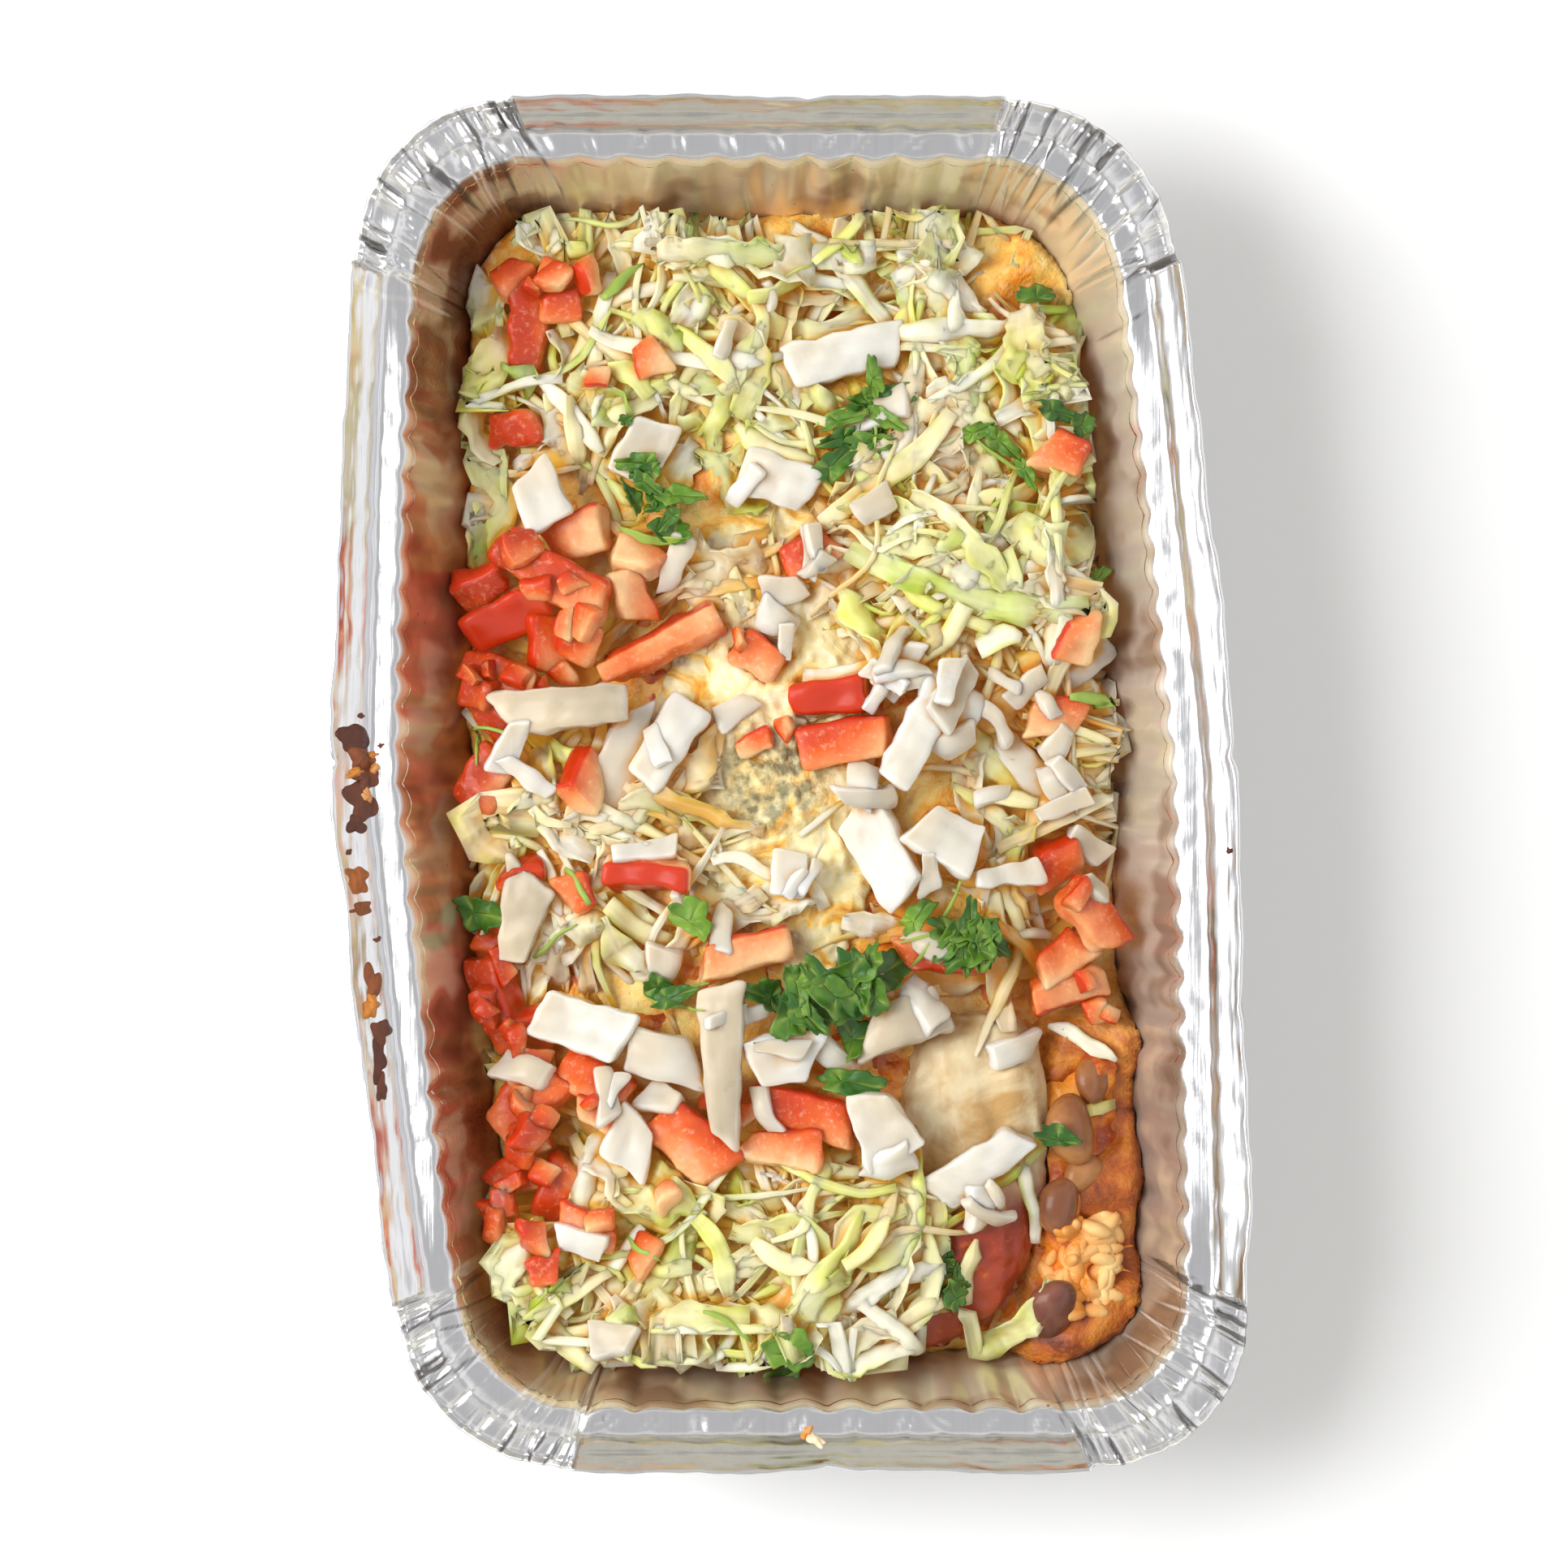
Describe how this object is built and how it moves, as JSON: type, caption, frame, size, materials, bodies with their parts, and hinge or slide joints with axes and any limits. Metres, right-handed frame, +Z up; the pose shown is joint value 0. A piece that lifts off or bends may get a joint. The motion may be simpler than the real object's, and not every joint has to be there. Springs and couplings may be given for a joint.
{
  "type": "foil tray meal",
  "caption": "Takeaway meal in an oblong aluminium foil tray: enchiladas, melted cheese, beans and rice under shredded lettuce, chopped tomato, onion and coriander.",
  "frame": {"origin": "middle of the tray's footprint, at the underside of its floor", "axes": "+Z up, +Y along the long side towards the far end as pictured, +X to the picture's right"},
  "size_m": [0.1497, 0.2236, 0.0484],
  "materials": {
    "foil": "bright, crinkled foil",
    "enchilada": "moist baked tortilla with red sauce",
    "cheese": "melted, slightly glossy",
    "lettuce": "moist pale leaf",
    "tomato": "wet cut flesh",
    "onion": "translucent white, wet",
    "coriander": "soft leaf",
    "beans_rice": "sauced grains and beans"
  },
  "bodies": {
    "root": {"beans_and_rice": "beans_rice", "coriander_1": "coriander", "coriander_2": "coriander", "coriander_3": "coriander", "coriander_4": "coriander", "coriander_5": "coriander", "enchilada_bed": "enchilada", "enchilada_roll": "enchilada", "foil_tray": "foil", "lettuce_east": "lettuce", "lettuce_north": "lettuce", "lettuce_south": "lettuce", "lettuce_west": "lettuce", "melted_cheese": "cheese", "onion_01": "onion", "onion_02": "onion", "onion_03": "onion", "onion_04": "onion", "onion_05": "onion", "onion_06": "onion", "onion_07": "onion", "onion_08": "onion", "onion_09": "onion", "onion_10": "onion", "onion_11": "onion", "onion_12": "onion", "onion_13": "onion", "onion_14": "onion", "onion_15": "onion", "onion_16": "onion", "onion_17": "onion", "onion_18": "onion", "onion_19": "onion", "onion_20": "onion", "onion_21": "onion", "tomato_01": "tomato", "tomato_02": "tomato", "tomato_03": "tomato", "tomato_04": "tomato", "tomato_05": "tomato", "tomato_06": "tomato", "tomato_07": "tomato", "tomato_08": "tomato", "tomato_09": "tomato", "tomato_10": "tomato", "tomato_11": "tomato", "tomato_12": "tomato", "tomato_13": "tomato", "tomato_14": "tomato", "tomato_15": "tomato", "tomato_16": "tomato", "tomato_17": "tomato", "tomato_18": "tomato", "tomato_19": "tomato", "tomato_20": "tomato", "tomato_21": "tomato", "tomato_22": "tomato", "tomato_23": "tomato", "tomato_24": "tomato"}
  },
  "joints": []
}
